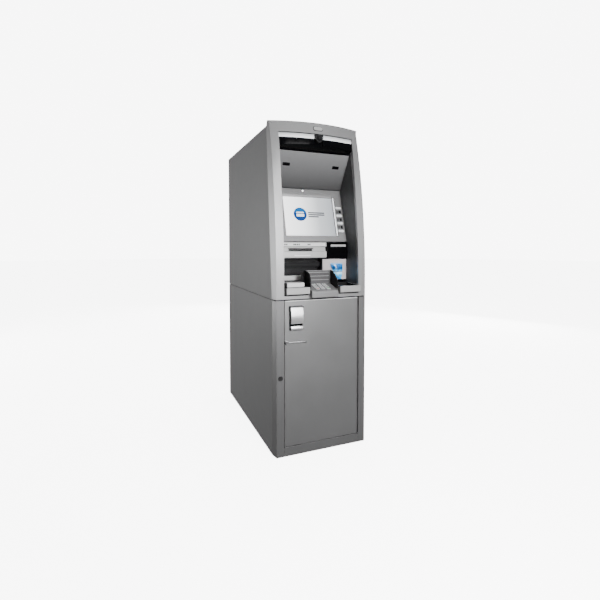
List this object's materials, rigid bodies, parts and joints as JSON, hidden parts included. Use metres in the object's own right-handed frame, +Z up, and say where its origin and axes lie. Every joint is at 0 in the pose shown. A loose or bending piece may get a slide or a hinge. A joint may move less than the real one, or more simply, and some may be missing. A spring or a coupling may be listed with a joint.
{
  "type": "automated teller machine",
  "caption": "Free-standing lobby cash machine: tall grey cabinet, safe behind a hinged lower door, and a bowed upper fascia with recessed screen, keypad, card and cash slots on a sliding rack.",
  "frame": {"origin": "on the floor, at the middle of the bounding box's footprint", "axes": "+Z up, -Y out of the front towards the user, +X to the right as the user faces the machine"},
  "size_m": [0.46, 0.915, 1.5],
  "materials": {
    "silver_paint": "satin metallic silver-grey powder coat, fine flake",
    "side_paint": "satin grey powder coat, fine orange peel",
    "fascia_silver": "satin silver painted moulding",
    "dark_grey_plastic": "fine-textured dark grey moulding",
    "gloss_black": "gloss black",
    "light_white": "frosted white light diffuser",
    "screen_glass": "lit display under glass",
    "blue_translucent": "translucent blue, lit from inside",
    "key_metal": "brushed stainless steel",
    "key_white": "satin white plastic",
    "handle_metal": "satin nickel",
    "safe_steel": "textured dark grey paint on steel plate",
    "bare_steel": "ground steel",
    "zinc_sheet": "zinc plated sheet",
    "cassette_plastic": "charcoal plastic, fine grain",
    "panel_light": "light grey plastic, satin"
  },
  "bodies": {
    "cabinet": {"base_plinth": "safe_steel", "lower_side_panels": "side_paint", "upper_shell": "side_paint", "rear_panels": "side_paint", "lower_front_frame": "silver_paint", "mid_deck": "safe_steel", "safe_body": "safe_steel", "door_hinge_pins": "bare_steel", "dispenser_frame": "zinc_sheet", "rack_rails": "zinc_sheet"},
    "lock": {"cam_lock": "handle_metal"},
    "door": {"lower_door": "silver_paint", "safe_door_plate": "safe_steel", "handle_plate": "handle_metal"},
    "paddle": {"paddle_handle": "handle_metal"},
    "lever": {"lever_handle": "handle_metal"},
    "bolts": {"safe_bolts": "bare_steel"},
    "tray_1": {"cassette_1": "cassette_plastic"},
    "tray_2": {"cassette_2": "cassette_plastic"},
    "tray_3": {"cassette_3": "cassette_plastic"},
    "tray_reject": {"reject_cassette": "cassette_plastic"},
    "fascia": {"fascia_frame": "fascia_silver", "hood_lights": "light_white", "valance": "gloss_black", "camera_dome": "dark_grey_plastic", "recess_liner": "fascia_silver", "screen_bezel": "fascia_silver", "display": "screen_glass", "printer_panel": "fascia_silver", "receipt_printer": "dark_grey_plastic", "cash_throat": "dark_grey_plastic", "card_reader": "panel_light", "card_bezel": "blue_translucent", "contactless_reader": "gloss_black", "console": "fascia_silver", "epp_housing": "key_metal", "pin_shield": "dark_grey_plastic", "equipment_tray": "zinc_sheet", "pc_core": "zinc_sheet"},
    "shutter": {"cash_shutter": "bare_steel"},
    "key_0_cap": {"key_0": "key_metal"},
    "key_1_cap": {"key_1": "key_metal"},
    "key_2_cap": {"key_2": "key_metal"},
    "key_3_cap": {"key_3": "key_metal"},
    "key_4_cap": {"key_4": "key_metal"},
    "key_5_cap": {"key_5": "key_metal"},
    "key_6_cap": {"key_6": "key_metal"},
    "key_7_cap": {"key_7": "key_metal"},
    "key_8_cap": {"key_8": "key_metal"},
    "key_9_cap": {"key_9": "key_metal"},
    "key_cancel_cap": {"key_cancel": "key_metal"},
    "key_enter_cap": {"key_enter": "key_metal"},
    "fdk_left_1_cap": {"fdk_left_1": "key_white"},
    "fdk_left_2_cap": {"fdk_left_2": "key_white"},
    "fdk_left_3_cap": {"fdk_left_3": "key_white"},
    "fdk_left_4_cap": {"fdk_left_4": "key_white"},
    "fdk_right_1_cap": {"fdk_right_1": "key_white"},
    "fdk_right_2_cap": {"fdk_right_2": "key_white"},
    "fdk_right_3_cap": {"fdk_right_3": "key_white"},
    "fdk_right_4_cap": {"fdk_right_4": "key_white"}
  },
  "joints": [
    {"name": "door_hinge", "type": "hinge", "parent": "cabinet", "child": "door", "pos_m": [0.177, -0.4195, 0.37], "axis": [0, 0, 1], "range_deg": [0, 95]},
    {"name": "lock_turn", "type": "hinge", "parent": "cabinet", "child": "lock", "pos_m": [-0.204, -0.4295, 0.355], "axis": [0, 1, 0], "range_deg": [0, 90]},
    {"name": "paddle_pull", "type": "hinge", "parent": "door", "child": "paddle", "pos_m": [-0.13, -0.4395, 0.662], "axis": [-1, 0, 0], "range_deg": [0, 22], "stiffness_Nm_per_rad": 0.3, "springref_deg": -34.38},
    {"name": "lever_turn", "type": "hinge", "parent": "door", "child": "lever", "pos_m": [-0.176, -0.4295, 0.511], "axis": [0, 1, 0], "range_deg": [0, 90]},
    {"name": "bolt_throw", "type": "slide", "parent": "door", "child": "bolts", "axis": [-1, 0, 0], "range_m": [0, 0.024]},
    {"name": "rack_slide", "type": "slide", "parent": "cabinet", "child": "fascia", "axis": [0, -1, 0], "range_m": [0, 0.4]},
    {"name": "shutter_lift", "type": "slide", "parent": "fascia", "child": "shutter", "axis": [0, 0, 1], "range_m": [0, 0.024]},
    {"name": "tray_1_slide", "type": "slide", "parent": "cabinet", "child": "tray_1", "axis": [0, -1, 0], "range_m": [0, 0.13]},
    {"name": "tray_2_slide", "type": "slide", "parent": "cabinet", "child": "tray_2", "axis": [0, -1, 0], "range_m": [0, 0.13]},
    {"name": "tray_3_slide", "type": "slide", "parent": "cabinet", "child": "tray_3", "axis": [0, -1, 0], "range_m": [0, 0.13]},
    {"name": "tray_reject_slide", "type": "slide", "parent": "cabinet", "child": "tray_reject", "axis": [0, -1, 0], "range_m": [0, 0.13]},
    {"name": "key_0_press", "type": "slide", "parent": "fascia", "child": "key_0_cap", "axis": [0, 0.2873, -0.9578], "range_m": [0, 0.002], "stiffness_N_per_m": 400, "springref_m": -0.002},
    {"name": "key_1_press", "type": "slide", "parent": "fascia", "child": "key_1_cap", "axis": [0, 0.2873, -0.9578], "range_m": [0, 0.002], "stiffness_N_per_m": 400, "springref_m": -0.002},
    {"name": "key_2_press", "type": "slide", "parent": "fascia", "child": "key_2_cap", "axis": [0, 0.2873, -0.9578], "range_m": [0, 0.002], "stiffness_N_per_m": 400, "springref_m": -0.002},
    {"name": "key_3_press", "type": "slide", "parent": "fascia", "child": "key_3_cap", "axis": [0, 0.2873, -0.9578], "range_m": [0, 0.002], "stiffness_N_per_m": 400, "springref_m": -0.002},
    {"name": "key_4_press", "type": "slide", "parent": "fascia", "child": "key_4_cap", "axis": [0, 0.2873, -0.9578], "range_m": [0, 0.002], "stiffness_N_per_m": 400, "springref_m": -0.002},
    {"name": "key_5_press", "type": "slide", "parent": "fascia", "child": "key_5_cap", "axis": [0, 0.2873, -0.9578], "range_m": [0, 0.002], "stiffness_N_per_m": 400, "springref_m": -0.002},
    {"name": "key_6_press", "type": "slide", "parent": "fascia", "child": "key_6_cap", "axis": [0, 0.2873, -0.9578], "range_m": [0, 0.002], "stiffness_N_per_m": 400, "springref_m": -0.002},
    {"name": "key_7_press", "type": "slide", "parent": "fascia", "child": "key_7_cap", "axis": [0, 0.2873, -0.9578], "range_m": [0, 0.002], "stiffness_N_per_m": 400, "springref_m": -0.002},
    {"name": "key_8_press", "type": "slide", "parent": "fascia", "child": "key_8_cap", "axis": [0, 0.2873, -0.9578], "range_m": [0, 0.002], "stiffness_N_per_m": 400, "springref_m": -0.002},
    {"name": "key_9_press", "type": "slide", "parent": "fascia", "child": "key_9_cap", "axis": [0, 0.2873, -0.9578], "range_m": [0, 0.002], "stiffness_N_per_m": 400, "springref_m": -0.002},
    {"name": "key_cancel_press", "type": "slide", "parent": "fascia", "child": "key_cancel_cap", "axis": [0, 0.2873, -0.9578], "range_m": [0, 0.002], "stiffness_N_per_m": 400, "springref_m": -0.002},
    {"name": "key_enter_press", "type": "slide", "parent": "fascia", "child": "key_enter_cap", "axis": [0, 0.2873, -0.9578], "range_m": [0, 0.002], "stiffness_N_per_m": 400, "springref_m": -0.002},
    {"name": "fdk_left_1_press", "type": "slide", "parent": "fascia", "child": "fdk_left_1_cap", "axis": [0, 0.9601, -0.2796], "range_m": [0, 0.0025], "stiffness_N_per_m": 400, "springref_m": -0.002},
    {"name": "fdk_left_2_press", "type": "slide", "parent": "fascia", "child": "fdk_left_2_cap", "axis": [0, 0.9601, -0.2796], "range_m": [0, 0.0025], "stiffness_N_per_m": 400, "springref_m": -0.002},
    {"name": "fdk_left_3_press", "type": "slide", "parent": "fascia", "child": "fdk_left_3_cap", "axis": [0, 0.9601, -0.2796], "range_m": [0, 0.0025], "stiffness_N_per_m": 400, "springref_m": -0.002},
    {"name": "fdk_left_4_press", "type": "slide", "parent": "fascia", "child": "fdk_left_4_cap", "axis": [0, 0.9601, -0.2796], "range_m": [0, 0.0025], "stiffness_N_per_m": 400, "springref_m": -0.002},
    {"name": "fdk_right_1_press", "type": "slide", "parent": "fascia", "child": "fdk_right_1_cap", "axis": [0, 0.9601, -0.2796], "range_m": [0, 0.0025], "stiffness_N_per_m": 400, "springref_m": -0.002},
    {"name": "fdk_right_2_press", "type": "slide", "parent": "fascia", "child": "fdk_right_2_cap", "axis": [0, 0.9601, -0.2796], "range_m": [0, 0.0025], "stiffness_N_per_m": 400, "springref_m": -0.002},
    {"name": "fdk_right_3_press", "type": "slide", "parent": "fascia", "child": "fdk_right_3_cap", "axis": [0, 0.9601, -0.2796], "range_m": [0, 0.0025], "stiffness_N_per_m": 400, "springref_m": -0.002},
    {"name": "fdk_right_4_press", "type": "slide", "parent": "fascia", "child": "fdk_right_4_cap", "axis": [0, 0.9601, -0.2796], "range_m": [0, 0.0025], "stiffness_N_per_m": 400, "springref_m": -0.002}
  ],
  "couplings": [
    {"joint": "bolt_throw", "follows": "lever_turn", "m_per_rad": 0.015279}
  ]
}
